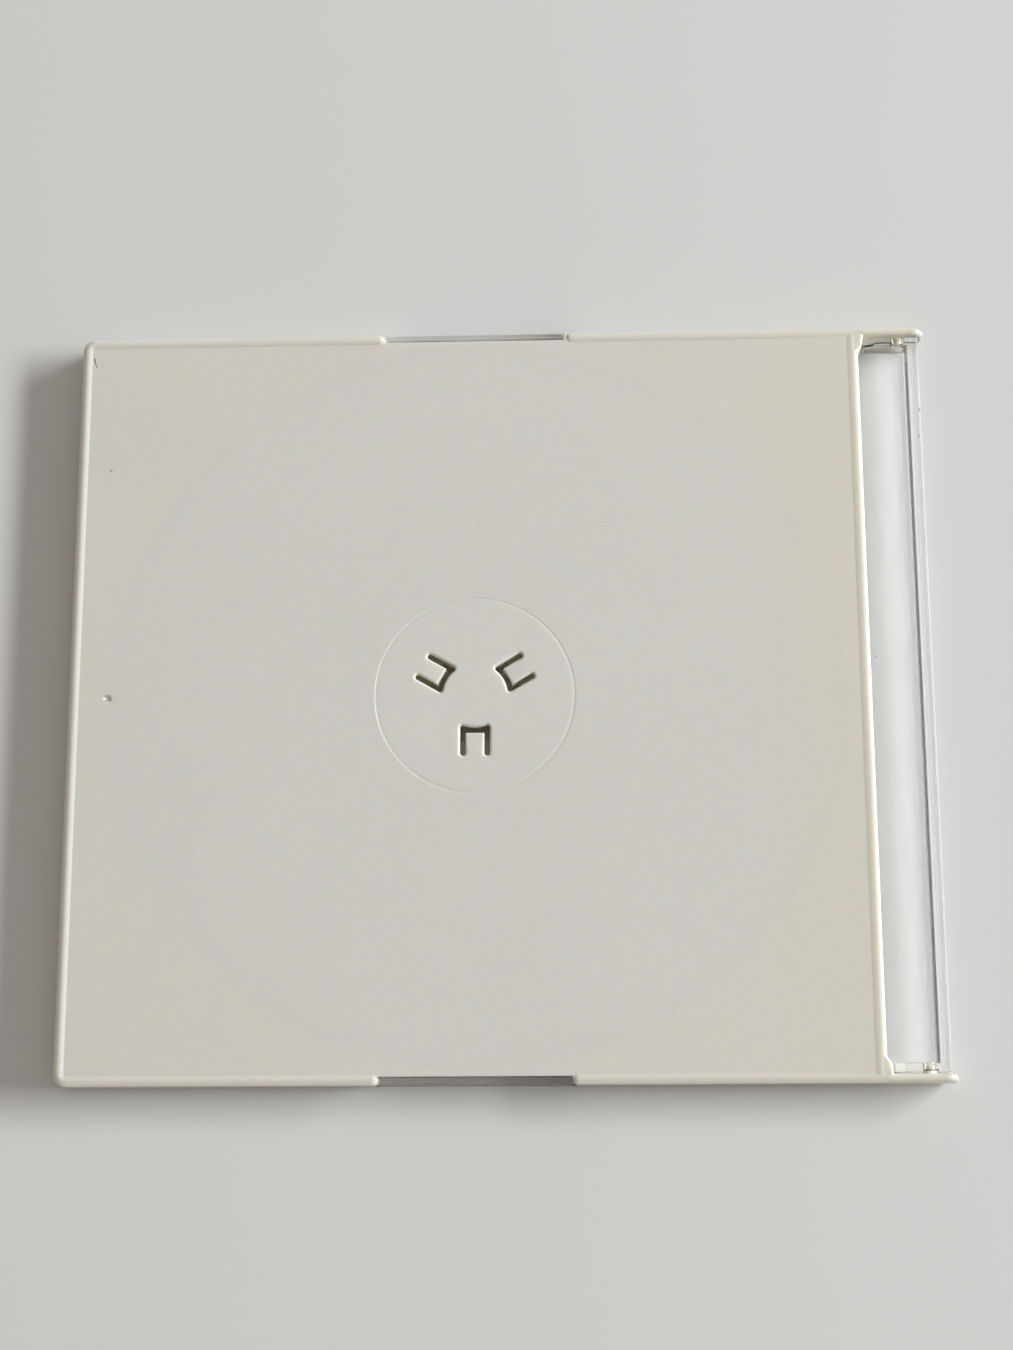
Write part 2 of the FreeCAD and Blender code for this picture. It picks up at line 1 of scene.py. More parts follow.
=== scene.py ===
"""Slim compact disc case, closed, lying on its clear front with the back of its cream tray up.

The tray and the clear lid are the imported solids, dressed here as moulded polystyrene. The plain
disc on the hub is a finer turned mesh, with the zones that a pressed disc has. Names that end in
_mm are millimetres. Other lengths are in metres.
"""
import logging
import math
from dataclasses import dataclass
from enum import Enum
from typing import Any

import bpy
from mathutils import Matrix, Vector


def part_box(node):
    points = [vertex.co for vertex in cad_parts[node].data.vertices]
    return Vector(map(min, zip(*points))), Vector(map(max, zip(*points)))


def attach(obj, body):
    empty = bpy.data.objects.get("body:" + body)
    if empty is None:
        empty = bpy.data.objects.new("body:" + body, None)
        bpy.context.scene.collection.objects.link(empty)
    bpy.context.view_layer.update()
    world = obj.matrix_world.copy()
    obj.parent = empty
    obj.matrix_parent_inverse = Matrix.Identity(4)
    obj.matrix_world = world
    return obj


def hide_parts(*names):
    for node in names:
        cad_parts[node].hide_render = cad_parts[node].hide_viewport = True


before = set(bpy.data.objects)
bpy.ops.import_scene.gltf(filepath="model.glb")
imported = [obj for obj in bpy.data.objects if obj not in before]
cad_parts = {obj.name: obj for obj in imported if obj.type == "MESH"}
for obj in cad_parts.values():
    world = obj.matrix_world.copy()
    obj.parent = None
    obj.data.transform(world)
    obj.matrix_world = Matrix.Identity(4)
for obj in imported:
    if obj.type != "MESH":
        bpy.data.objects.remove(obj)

LOG = logging.getLogger("disc_case")
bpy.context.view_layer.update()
MM = 0.001

Socket = bpy.types.NodeSocket
Point = tuple[float, float, float]

BLACK = "#000000"
WHITE = "#FFFFFF"

# Middle of the hub, measured from the middle of the case
HUB_X_MM = -4.5
HUB = Vector((HUB_X_MM * MM, 0.0, 0.0))

# Leaves the height out of a distance, so that it is measured from an upright axis
ACROSS = (1.0, 1.0, 0.0)


def linear(colour: str) -> tuple[float, float, float, float]:
    """Turns an sRGB hex colour into the linear RGBA that shader sockets hold.

    Args:
        colour: Six hex digits with a leading hash.

    Returns:
        Linear red, green, blue and an alpha of 1.
    """
    parts = [int(colour[i:i + 2], 16) / 255 for i in (1, 3, 5)]
    red, green, blue = [p / 12.92 if p <= 0.04045 else ((p + 0.055) / 1.055) ** 2.4 for p in parts]
    return (red, green, blue, 1.0)


class Nodes:
    """A node tree under construction."""

    def __init__(self, tree: bpy.types.NodeTree) -> None:
        """Takes a tree and empties it.

        Args:
            tree: The node tree of a material, a world or a geometry modifier.
        """
        self.tree = tree
        self.tree.nodes.clear()

    def add(self, kind: str, inputs: dict | None = None, **settings: Any) -> Any:
        """Adds a node, sets its properties and fills or links its inputs.

        Args:
            kind: The node's type name.
            inputs: Values or output sockets by input name or number.
            settings: Properties of the node itself.

        Returns:
            The new node.
        """
        made = self.tree.nodes.new(kind)
        for name, value in settings.items():
            setattr(made, name, value)
        for name, value in (inputs or {}).items():
            if isinstance(value, Socket):
                self.tree.links.new(value, made.inputs[name])
            else:
                made.inputs[name].default_value = value
        return made

    def distance(self, place: Socket, centre: Any, axes: Point = (1.0, 1.0, 1.0)) -> Socket:
        """Distance from a point, or from an axis through it.

        Args:
            place: Where it is measured.
            centre: The point, or a socket that gives it.
            axes: 0 along an axis that the distance leaves out, and 1 elsewhere.

        Returns:
            The distance in metres.
        """
        offset = self.add("ShaderNodeVectorMath", {0: place, 1: centre}, operation="SUBTRACT")
        kept = {0: offset.outputs[0], 1: axes}
        kept = self.add("ShaderNodeVectorMath", kept, operation="MULTIPLY")
        length = self.add("ShaderNodeVectorMath", {0: kept.outputs[0]}, operation="LENGTH")
        return length.outputs["Value"]


@dataclass(frozen=True)
class Mark:
    """A small blemish on a surface: a speck, or a short scratch between two points."""

    start_mm: Point
    end_mm: Point
    radius_mm: float
    # How dirty its middle is, and the share of its radius that is as dirty
    share: float = 1.0
    core: float = 0.4


class Surface(Nodes):
    """A material under construction, with the steps that several finishes share."""

    def __init__(self, name: str) -> None:
        """Starts an empty material that is laid out on the object's own coordinates.

        Args:
            name: Name of the real finish.
        """
        self.material = bpy.data.materials.new(name)
        self.material.use_nodes = True
        super().__init__(self.material.node_tree)
        coordinates = self.add("ShaderNodeTexCoord").outputs
        self.place = coordinates["Object"]
        self.normal = coordinates["Normal"]
        self.at = self.add("ShaderNodeSeparateXYZ", {0: self.place}).outputs

    def ramp(self, value: Socket, start: float, end: float) -> Socket:
        """Smooth step from 0 at start to 1 at end.

        Args:
            value: What is measured.
            start: Value where the step begins.
            end: Value where it is complete. It may be less than start.

        Returns:
            A share from 0 to 1.
        """
        inputs = {"Value": value, "From Min": start, "From Max": end}
        if start > end:
            inputs = {"Value": value, "From Min": end, "From Max": start, "To Min": 1.0, "To Max": 0.0}
        step = self.add("ShaderNodeMapRange", inputs, interpolation_type="SMOOTHSTEP")
        return step.outputs["Result"]

    def within(self, value: Socket, limit_mm: float, fade_mm: float) -> Socket:
        """1 where a value is under a limit and 0 where it is over, fading to both sides of it."""
        return self.ramp(value, (limit_mm + fade_mm) * MM, (limit_mm - fade_mm) * MM)

    def spot(self, away: Socket, radius_mm: float, core: float) -> Socket:
        """1 in a spot's core, a share of its radius, fading to 0 at the radius."""
        return self.ramp(away, radius_mm * MM, radius_mm * MM * core)

    def above(self, value: Socket, limit_mm: float) -> Socket:
        """1 where a value is over a limit, and 0 elsewhere."""
        inputs = {0: value, 1: limit_mm * MM}
        return self.add("ShaderNodeMath", inputs, operation="GREATER_THAN").outputs[0]

    def band(self, value: Socket, low_mm: float, high_mm: float) -> Socket:
        """1 where a value is between two limits, and 0 elsewhere."""
        return self.without(self.above(value, low_mm), self.above(value, high_mm))

    def off(self, value: Socket, middle: float) -> Socket:
        """How far a value is from a middle one, to either side.

        Args:
            value: What is measured, in metres.
            middle: The middle value, in metres.

        Returns:
            The distance in metres, never below 0.
        """
        aside = self.add("ShaderNodeMath", {0: value, 1: middle}, operation="SUBTRACT")
        return self.add("ShaderNodeMath", {0: aside.outputs[0]}, operation="ABSOLUTE").outputs[0]

    def without(self, share: Any, taken: Socket) -> Socket:
        """What is left of a share when a part of it is taken out."""
        return self.add("ShaderNodeMath", {0: share, 1: taken}, operation="SUBTRACT").outputs[0]

    def more(self, value: Any, share: Socket, amount: float) -> Socket:
        """A value with a share of an amount on top."""
        inputs = {0: share, 1: amount, 2: value}
        return self.add("ShaderNodeMath", inputs, operation="MULTIPLY_ADD").outputs[0]

    def overlap(self, first: Socket, second: Any) -> Socket:
        """Share where both of two shares apply, as their product."""
        return self.add("ShaderNodeMath", {0: first, 1: second}, operation="MULTIPLY").outputs[0]

    def either(self, first: Socket, second: Socket) -> Socket:
        """Share where one of two shares applies, as the larger one."""
        return self.add("ShaderNodeMath", {0: first, 1: second}, operation="MAXIMUM").outputs[0]

    def from_hub(self) -> Socket:
        """Distance of the surface from the hub's axis."""
        return self.distance(self.place, HUB, ACROSS)

    def noise(self, grain_mm: float, detail: float = 2.0, stretch: Point = (1.0, 1.0, 1.0)) -> Socket:
        """Soft noise with a grain of a real size.

        Args:
            grain_mm: Width of one blotch.
            detail: Finer octaves on top.
            stretch: Share of the scale along each axis, below 1 for streaks along it.

        Returns:
            A value from 0 to 1, mostly near 0.5.
        """
        scaled = self.add("ShaderNodeMapping", {"Vector": self.place, "Scale": stretch}).outputs[0]
        inputs = {"Vector": scaled, "Scale": 1 / (grain_mm * MM), "Detail": detail}
        return self.add("ShaderNodeTexNoise", inputs).outputs["Fac"]

    def layered(self, colour: Any, *layers: tuple[Any, Any]) -> Socket:
        """Lays colours over a first one, in order.

        Args:
            colour: Linear colour or socket that the layers start from.
            layers: Pairs of a share from 0 to 1, and the linear colour or socket that it lays on.

        Returns:
            The colour with every layer on it.
        """
        for share, coat in layers:
            # A Mix node keeps its two colours in inputs 6 and 7, and gives their mix as output 2
            inputs = {0: share, 6: colour, 7: coat}
            colour = self.add("ShaderNodeMix", inputs, data_type="RGBA").outputs[2]
        return colour

    def mark(self, mark: Mark) -> Socket:
        """Share of dirt at a blemish.

        Args:
            mark: The blemish.

        Returns:
            Its own share in its middle, and 0 outside it.
        """
        start = Vector(mark.start_mm) * MM
        run = Vector(mark.end_mm) * MM - start
        nearest: Any = start
        if run.length > 0:
            offset = {0: self.place, 1: start}
            offset = self.add("ShaderNodeVectorMath", offset, operation="SUBTRACT").outputs[0]
            along = {0: offset, 1: run}
            along = self.add("ShaderNodeVectorMath", along, operation="DOT_PRODUCT").outputs["Value"]
            share = {0: along, 1: run.length_squared}
            share = self.add("ShaderNodeMath", share, operation="DIVIDE", use_clamp=True).outputs[0]
            nearest = {0: run, 1: share, 2: start}
            nearest = self.add("ShaderNodeVectorMath", nearest, operation="MULTIPLY_ADD").outputs[0]
        away = self.distance(self.place, nearest)
        return self.overlap(self.spot(away, mark.radius_mm, mark.core), mark.share)

    def clear(self, shader: Socket, passes: Socket, soft: Socket) -> Socket:
        """Lets light from lamps straight through a clear shader.

        Args:
            shader: The clear shader.
            passes: Colour of the light that gets through.
            soft: Share of the light off matt surfaces that goes straight through as well, so that
                the sky's light isn't counted both straight and bent.

        Returns:
            The mixed shader.
        """
        light = self.add("ShaderNodeLightPath").outputs
        straight = self.either(light["Is Shadow Ray"], self.overlap(light["Is Diffuse Ray"], soft))
        through = self.add("ShaderNodeBsdfTransparent", {"Color": passes}).outputs[0]
        return self.add("ShaderNodeMixShader", {0: straight, 1: shader, 2: through}).outputs[0]

    def finish(self, shader: Socket) -> bpy.types.Material:
        """Joins the last shader to the output."""
        self.add("ShaderNodeOutputMaterial", {"Surface": shader})
        return self.material


@dataclass(frozen=True)
class TrayPolystyrene:
    """Opaque off-white high-impact polystyrene, injection moulded in a fine satin mould."""

    # To the eye: creamy and opaque, with a soft broad sheen, a faint unevenness and no sharp
    # reflection. The mould's satin grain is drawn coarser than the real one, which is too fine
    # to show.
    thin: str = "#ECEAE3"
    thick: str = "#EDEAE1"
    hub: str = "#EDEBE4"
    # Painted glow: a warmer tone towards the hinge side, where the window light falls
    glow: str = "#EEEADC"
    painted_glow_share: float = 0.7
    # Painted shade on the tips of the hinge arms, toning down the lamp's light on them
    tip_painted_shade: str = "#D6D3C9"
    dirt: str = "#6E675C"
    ior: float = 1.59
    roughness: float = 0.27
    uneven: float = 0.12
    shine: float = 0.36
    depth_weight: float = 1.0
    # How far red, green and blue light travel in the plastic
    depth_mm: Point = (0.8, 0.62, 0.42)
    grain_mm: float = 0.22
    grain_share: float = 0.35
    peel_mm: float = 1.6
    peel_height_mm: float = 0.01
    peel_strength: float = 0.25
    cloud_mm: float = 26.0
    cloud_depth: float = 0.035
    well_radius_mm: float = 60.4
    well_fade_mm: float = 0.25
    shade_width_mm: float = 4.5
    shade_depth: float = 0.012
    finger_gap_mm: float = 30.0
    finger_fade_mm: float = 0.3
    hub_radius_mm: float = 16.0
    hub_fade_mm: float = 1.2
    painted_glow_start_mm: float = 36.0
    painted_glow_end_mm: float = 59.5
    tip_shade_start_mm: float = 67.5
    tip_shade_end_mm: float = 70.5
    witness_mm: float = 16.08
    witness_half_mm: float = 0.38
    witness_fade_mm: float = 0.1
    pit_mm: Point = (-64.6, 0.0, 4.9)
    pit_radius_mm: float = 0.82
    pit_core: float = 0.9
    # Painted shade on the pit's wall that faces the lamp
    pit_painted_shade: str = "#B4B0A6"
    # The normal's share along X where a wall's painted light (leaning away from the lamp) and
    # painted shade (facing it) start, and where they are full
    lean_away: tuple[float, float] = (-0.02, -0.15)
    painted_light_share: float = 0.55
    lean_facing: tuple[float, float] = (0.02, 0.4)
    slot_radius_mm: float = 10.8
    slot_core: float = 0.95
    slot_top_mm: float = 4.85
    slot_fade_mm: float = 0.3
    # Painted glow: emission colour on the walls of the slots
    painted_soak_glow: str = "#1A1609"
    # A bent scratch in one corner, and a grey speck near the edge
    marks: tuple[Mark, ...] = (
        Mark((-69.1, 59.2, 5.0), (-68.95, 58.4, 5.0), 0.13),
        Mark((-68.95, 58.4, 5.0), (-68.6, 57.5, 5.0), 0.08),
        Mark((-65.5, 39.1, 5.0), (-65.5, 39.1, 5.0), 0.3, 0.55),
    )

    def tone(self, kit: Surface) -> Socket:
        """Colours the moulding.

        The back is a little greyer where the plate is thin, over the disc well and the finger
        gaps, and creamier over the thick corners. Towards the hinge it has a painted warm glow, where
        the window light falls. It is cooler inside the witness line, and the tips of the hinge arms
        get painted shade, which tones down the lamp's light on them.

        Args:
            kit: The material.

        Returns:
            The colour before its marks.
        """
        radius = kit.from_hub()
        well = kit.within(radius, self.well_radius_mm, self.well_fade_mm)
        across = kit.off(kit.at["X"], HUB.x)
        gap = kit.within(across, self.finger_gap_mm / 2, self.finger_fade_mm)
        middle = kit.within(radius, self.hub_radius_mm, self.hub_fade_mm)
        # Where the painted glow towards the hinge side lies
        glow = kit.ramp(kit.at["X"], self.painted_glow_start_mm * MM, self.painted_glow_end_mm * MM)
        # Where the painted shade on the tips of the hinge arms lies
        tip_painted_shade = kit.ramp(kit.at["X"], self.tip_shade_start_mm * MM, self.tip_shade_end_mm * MM)
        shade_start = (self.well_radius_mm - self.shade_width_mm) * MM
        shade = kit.overlap(kit.ramp(radius, shade_start, self.well_radius_mm * MM), well)
        clouds = kit.overlap(kit.noise(self.cloud_mm, detail=3.0), self.cloud_depth)
        return kit.layered(
            linear(self.thick),
            (kit.either(well, gap), linear(self.thin)),
            (middle, linear(self.hub)),
            (kit.overlap(glow, self.painted_glow_share), linear(self.glow)),
            (tip_painted_shade, linear(self.tip_painted_shade)),
            (kit.more(clouds, shade, self.shade_depth), linear(BLACK)),
        )

    def marked(self, kit: Surface, colour: Socket) -> Socket:
        """Adds the witness line, the gate pit and the blemishes.

        The light comes from the hinge side. The walls of the line and the pit that lean away from
        it get painted light, and the pit's wall that faces it gets painted shade.

        Args:
            kit: The material.
            colour: The colour before its marks.

        Returns:
            The colour with its marks.
        """
        off_line = kit.off(kit.from_hub(), self.witness_mm * MM)
        line = kit.within(off_line, self.witness_half_mm, self.witness_fade_mm)
        from_pit = kit.distance(kit.place, Vector(self.pit_mm) * MM)
        pit = kit.spot(from_pit, self.pit_radius_mm, self.pit_core)
        leans = kit.add("ShaderNodeSeparateXYZ", {0: kit.normal}).outputs["X"]
        away = kit.overlap(kit.either(line, pit), kit.ramp(leans, *self.lean_away))
        painted_shade_facing = kit.overlap(pit, kit.ramp(leans, *self.lean_facing))
        return kit.layered(
            colour,
            # Painted light on walls that lean away from the lamp, and painted shade on the pit's wall
            # facing it
            (kit.overlap(away, self.painted_light_share), linear(WHITE)),
            (painted_shade_facing, linear(self.pit_painted_shade)),
            *[(kit.mark(mark), linear(self.dirt)) for mark in self.marks],
        )

    def make(self) -> bpy.types.Material:
        """Builds the material.

        The walls of the slots get a painted glow: a faint warm emission that stands in for light
        soaking through the thin plastic round the hub.

        Returns:
            The finished material.
        """
        kit = Surface("moulded_cream_polystyrene")
        fine = kit.noise(self.grain_mm, detail=1.0)
        skin = {
            "Height": kit.more(kit.noise(self.peel_mm, detail=1.0), fine, self.grain_share),
            "Distance": self.peel_height_mm * MM,
            "Strength": self.peel_strength,
        }
        by_slots = kit.spot(kit.from_hub(), self.slot_radius_mm, self.slot_core)
        low = kit.ramp(kit.at["Z"], self.slot_top_mm * MM, (self.slot_top_mm - self.slot_fade_mm) * MM)
        inputs = {
            "Base Color": self.marked(kit, self.tone(kit)),
            "Roughness": kit.more(self.roughness - self.uneven / 2, fine, self.uneven),
            "IOR": self.ior,
            "Specular IOR Level": self.shine,
            "Normal": kit.add("ShaderNodeBump", skin).outputs[0],
            "Subsurface Weight": self.depth_weight,
            "Subsurface Radius": self.depth_mm,
            "Subsurface Scale": MM,
            # Painted glow on the walls of the slots, as emission
            "Emission Color": linear(self.painted_soak_glow),
            "Emission Strength": kit.overlap(by_slots, low),
        }
        return kit.finish(kit.add("ShaderNodeBsdfPrincipled", inputs).outputs[0])


@dataclass(frozen=True)
class ClearPolystyrene:
    """Crystal polystyrene, injection moulded in a polished mould, with light handling wear."""

    # To the eye: clear as water and glossy, with bright and dark lines where its walls bend the
    # light, a slight cream at its ends and faint rubbed streaks along the spine.
    tint: str = "#FCFBFA"
    side_tint: str = "#FCF9F3"
    side_mm: float = 59.5
    ior: float = 1.59
    roughness: float = 0.015
    wear: float = 0.06
    streak_mm: float = 0.25
    streak_stretch: Point = (1.0, 0.06, 1.0)
    # Noise level where the rubbing starts, and where it is full
    streak_limits: tuple[float, float] = (0.62, 0.78)
    # The spine's satin inner edge, satin outer edge and band of painted groove shade: places along
    # X, and least heights
    inner_satin: float = 0.15
    inner_mm: tuple[float, float] = (67.7, 68.25)
    edge_satin: float = 0.3
    edge_from_mm: float = 69.45
    edge_low_mm: float = 4.7
    # Painted shade: a grey tint on a band along the spine's top, drawn as a groove's dark line
    groove_painted_shade: str = "#E6E6E4"
    groove_mm: tuple[float, float] = (68.95, 69.4)
    groove_low_mm: float = 4.6
    # Light that gets through a face, and through the sheet that the tray covers when it is shut
    passes: str = "#EFEFEF"
    sheet_passes: str = "#FAFAFA"
    sheet_end_mm: float = 60.0
    sheet_fade_mm: float = 3.0
    sheet_top_mm: float = 1.15
    spine_mm: float = 69.0
    spine_top_mm: float = 5.0
    # Height on the spine's outer face, and the share of the light that goes through it there
    spine_passes: tuple[tuple[float, float], ...] = (
        (0.0, 0.7), (1.0, 0.6), (1.35, 0.34), (1.72, 0.46), (1.97, 0.8),
        (2.3, 0.98), (2.6, 1.0), (2.95, 0.86), (3.5, 0.58), (5.0, 0.55),
    )
    dirt: str = "#55524D"
    # Two specks on top of the spine, and one in its channel
    marks: tuple[Mark, ...] = (
        Mark((69.6, 48.1, 5.0), (69.6, 47.7, 5.0), 0.2),
        Mark((69.3, 43.5, 5.0), (69.3, 43.0, 5.0), 0.16, 0.7),
        Mark((61.1, 6.6, 1.1), (61.1, 6.6, 1.1), 0.15, 0.8),
    )

    def polish(self, kit: Surface) -> Socket:
        """Makes the roughness: polished, rubbed in streaks, and satin at two edges of the spine.

        Args:
            kit: The material.

        Returns:
            The roughness.
        """
        streaks = kit.noise(self.streak_mm, stretch=self.streak_stretch)
        rubbed = kit.ramp(streaks, *self.streak_limits)
        rough = kit.more(self.roughness, rubbed, self.wear)
        rough = kit.more(rough, kit.band(kit.at["X"], *self.inner_mm), self.inner_satin)
        on_top = kit.above(kit.at["Z"], self.edge_low_mm)
        edge = kit.overlap(kit.above(kit.at["X"], self.edge_from_mm), on_top)
        return kit.more(rough, edge, self.edge_satin)

    def light(self, kit: Surface) -> tuple[Socket, Socket]:
        """Works out how much light goes straight through each face.

        The spine's outer face bends the light, so most of what falls in the channel met that face
        about 2.5 mm up, and lands along the middle. The sheet that the tray covers when the case
        is shut passes a little more, and passes soft light straight as well.

        Args:
            kit: The material.

        Returns:
            Colour of the light that gets through, and 1 on the sheet and 0 elsewhere.
        """
        height = {0: kit.at["Z"], 1: self.spine_top_mm * MM}
        height = kit.add("ShaderNodeMath", height, operation="DIVIDE").outputs[0]
        bent = kit.add("ShaderNodeValToRGB", {"Fac": height})
        stops = bent.color_ramp.elements
        for index, (up_mm, level) in enumerate(self.spine_passes):
            place = up_mm / self.spine_top_mm
            # A new colour ramp has two stops already
            stop = stops[index] if index < 2 else stops.new(place)
            stop.position = place
            stop.color = (level, level, level, 1.0)
        full_from_mm = self.sheet_end_mm - self.sheet_fade_mm
        covered = kit.ramp(kit.at["X"], self.sheet_end_mm * MM, full_from_mm * MM)
        sheet = kit.overlap(covered, kit.without(1.0, kit.above(kit.at["Z"], self.sheet_top_mm)))
        passes = kit.layered(
            linear(self.passes),
            (kit.above(kit.at["X"], self.spine_mm), bent.outputs["Color"]),
            (sheet, linear(self.sheet_passes)),
        )
        return passes, sheet

    def make(self) -> bpy.types.Material:
        """Builds the material.

        Returns:
            The finished material.
        """
        kit = Surface("clear_crystal_polystyrene")
        side = kit.above(kit.off(kit.at["Y"], 0.0), self.side_mm)
        # Band on the spine's top that gets painted shade, as a groove's dark line
        on_top = kit.above(kit.at["Z"], self.groove_low_mm)
        groove_shade_band = kit.overlap(kit.band(kit.at["X"], *self.groove_mm), on_top)
        dirty = [kit.mark(mark) for mark in self.marks]
        clean: Any = 1.0
        for share in dirty:
            clean = kit.without(clean, share)
        inputs = {
            "Base Color": kit.layered(
                linear(self.tint),
                (side, linear(self.side_tint)),
                # Painted shade along the groove band
                (groove_shade_band, linear(self.groove_painted_shade)),
                *[(share, linear(self.dirt)) for share in dirty],
            ),
            "Roughness": self.polish(kit),
            "IOR": self.ior,
            "Transmission Weight": clean,
        }
        shader = kit.add("ShaderNodeBsdfPrincipled", inputs).outputs[0]
        return kit.finish(kit.clear(shader, *self.light(kit)))


class FilmZone(Enum):
    """Zones of the disc's metal film, from the middle outwards."""

    MIRROR = "mirror"
    DATA = "data"


@dataclass(frozen=True)
class DiscLacquer:
    """Aluminium film under clear lacquer, unprinted."""

    # To the eye: a grey mirror. Its tracks are too fine to show, and spread the shine sideways
    # into soft wedges of light.
    colour: str = "#DADCE0"
    # Haze of the data area, and of the mirror band, which is smoother
    roughness: float = 0.16
    mirror_roughness: float = 0.08
    uneven: float = 0.05
    haze_mm: float = 0.4
    spread: float = 0.7
    coat_roughness: float = 0.04

    def make(self, zone: FilmZone) -> bpy.types.Material:
        """Builds the finish of one zone.

        Args:
            zone: The mirror band, which has no tracks, or the data area.

        Returns:
            The finished material.
        """
        kit = Surface("lacquered_aluminium_" + zone.value)
        data = zone is FilmZone.DATA
        base = self.roughness if data else self.mirror_roughness
        tangent = kit.add("ShaderNodeTangent", direction_type="RADIAL", axis="Z").outputs[0]
        inputs = {
            "Base Color": linear(self.colour),
            "Metallic": 1.0,
            "Roughness": kit.more(base, kit.noise(self.haze_mm), self.uneven),
            "Anisotropic": self.spread if data else 0.0,
            "Tangent": tangent,
            "Coat Weight": 1.0,
            "Coat Roughness": self.coat_roughness,
        }
        return kit.finish(kit.add("ShaderNodeBsdfPrincipled", inputs).outputs[0])


@dataclass(frozen=True)
class DiscPolycarbonate:
    """Clear moulded polycarbonate of the disc's middle and its outer edge."""

    # To the eye: clear and glossy, and faintly warm near the hub, from a painted glow: emission that
    # stands in for light soaking through the tray.
    tint: str = "#F7F9FA"
    # Painted glow: emission colour near the hub
    painted_soak_glow: str = "#1E1A0B"
    glow_radius_mm: float = 12.0
    glow_core: float = 0.95
    ior: float = 1.585
    roughness: float = 0.01
    uneven: float = 0.03
    haze_mm: float = 0.5

    def make(self) -> bpy.types.Material:
        """Builds the material.

        Returns:
            The finished material.
        """
        kit = Surface("clear_polycarbonate")
        inputs = {
            "Base Color": linear(self.tint),
            "Roughness": kit.more(self.roughness, kit.noise(self.haze_mm), self.uneven),
            "IOR": self.ior,
            "Transmission Weight": 1.0,
            # Painted glow near the hub, as emission
            "Emission Color": linear(self.painted_soak_glow),
            "Emission Strength": kit.spot(kit.from_hub(), self.glow_radius_mm, self.glow_core),
        }
        return kit.finish(kit.add("ShaderNodeBsdfPrincipled", inputs).outputs[0])


@dataclass(frozen=True)
class TableTop:
    """Pale laminate with a matt pressed surface."""

    # To the eye: plain and even, with faint clouds and no reflection of the case.
    colour: str = "#E8E8E5"
    roughness: float = 0.75
    cloud_mm: float = 60.0
    cloud_depth: float = 0.02

    def make(self) -> bpy.types.Material:
        """Builds the material.

        Returns:
            The finished material.
        """
        kit = Surface("matte_white_laminate")
        clouds = kit.overlap(kit.noise(self.cloud_mm, detail=3.0), self.cloud_depth)
        inputs = {
            "Base Color": kit.layered(linear(self.colour), (clouds, linear(BLACK))),
            "Roughness": self.roughness,
        }
        return kit.finish(kit.add("ShaderNodeBsdfPrincipled", inputs).outputs[0])


def dress(node: str, finish: bpy.types.Material) -> bpy.types.Object:
    """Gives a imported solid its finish.

    Args:
        node: Name of the solid.
        finish: Its material.

    Returns:
        The solid's object.
    """
    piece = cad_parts[node]
    piece.data.materials.clear()
    piece.data.materials.append(finish)
    return piece


@dataclass
class Tray:
    """The cream tray: one moulding with its rim, hinge arms, pins and spring hub."""

    finish: TrayPolystyrene = TrayPolystyrene()

    def build(self) -> bpy.types.Object:
        """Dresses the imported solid."""
        return dress("tray", self.finish.make())


@dataclass
class ClearLid:
    """The clear lid: one moulding with its spine wall, end walls and notch walls."""

    finish: ClearPolystyrene = ClearPolystyrene()

    def build(self) -> bpy.types.Object:
        """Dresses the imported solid."""
        return dress("clear_lid", self.finish.make())


class Shape(Nodes):
    """A Geometry Nodes tree under construction, with its named sizes."""

    def __init__(self, name: str, sizes: dict[str, float]) -> None:
        """Starts a tree that takes the object's own mesh and gives back a mesh.

        Args:
            name: What the tree makes.
            sizes: Its sizes by name, in metres, and its counts as whole numbers.
        """
        super().__init__(bpy.data.node_groups.new(name, "GeometryNodeTree"))
        sockets = self.tree.interface
        sockets.new_socket("Geometry", in_out="INPUT", socket_type="NodeSocketGeometry")
        sockets.new_socket("Geometry", in_out="OUTPUT", socket_type="NodeSocketGeometry")
        self.values: dict[str, float] = {}
        for label, value in sizes.items():
            kind = "NodeSocketInt" if isinstance(value, int) else "NodeSocketFloat"
            socket = sockets.new_socket(label, in_out="INPUT", socket_type=kind)
            self.values[socket.identifier] = value
        self.given = self.add("NodeGroupInput").outputs

    def ring(self, level: Socket, radius: Socket, inner: Socket, outer: Socket) -> Socket:
        """Picks the flat faces between two radii.

        Args:
            level: True on flat faces.
            radius: Distance of each face from the axis.
            inner: The smaller radius.
            outer: The larger radius.

        Returns:
            True on the faces of the ring.
        """
        beyond = self.add("ShaderNodeMath", {0: radius, 1: inner}, operation="GREATER_THAN")
        inside = self.add("ShaderNodeMath", {0: radius, 1: outer}, operation="LESS_THAN")
        between = {0: beyond.outputs[0], 1: inside.outputs[0]}
        between = self.add("FunctionNodeBooleanMath", between, operation="AND").outputs[0]
        inputs = {0: between, 1: level}
        return self.add("FunctionNodeBooleanMath", inputs, operation="AND").outputs[0]

    def apply(self, mesh: bpy.types.Mesh, result: Socket) -> bpy.types.Object:
        """Runs the tree on a mesh and keeps what it makes as a plain mesh.

        Args:
            mesh: The mesh that the tree starts from.
            result: The tree's last socket.

        Returns:
            An object at the origin, with no modifier left on it.
        """
        self.add("NodeGroupOutput", {0: result})
        piece = bpy.data.objects.new(self.tree.name, mesh)
        bpy.context.scene.collection.objects.link(piece)
        modifier = piece.modifiers.new("shape", "NODES")
        modifier.node_group = self.tree
        for identifier, value in self.values.items():
            modifier[identifier] = value
        evaluated = piece.evaluated_get(bpy.context.evaluated_depsgraph_get())
        made = bpy.data.meshes.new_from_object(evaluated)
        piece.modifiers.clear()
        piece.data = made
        return piece


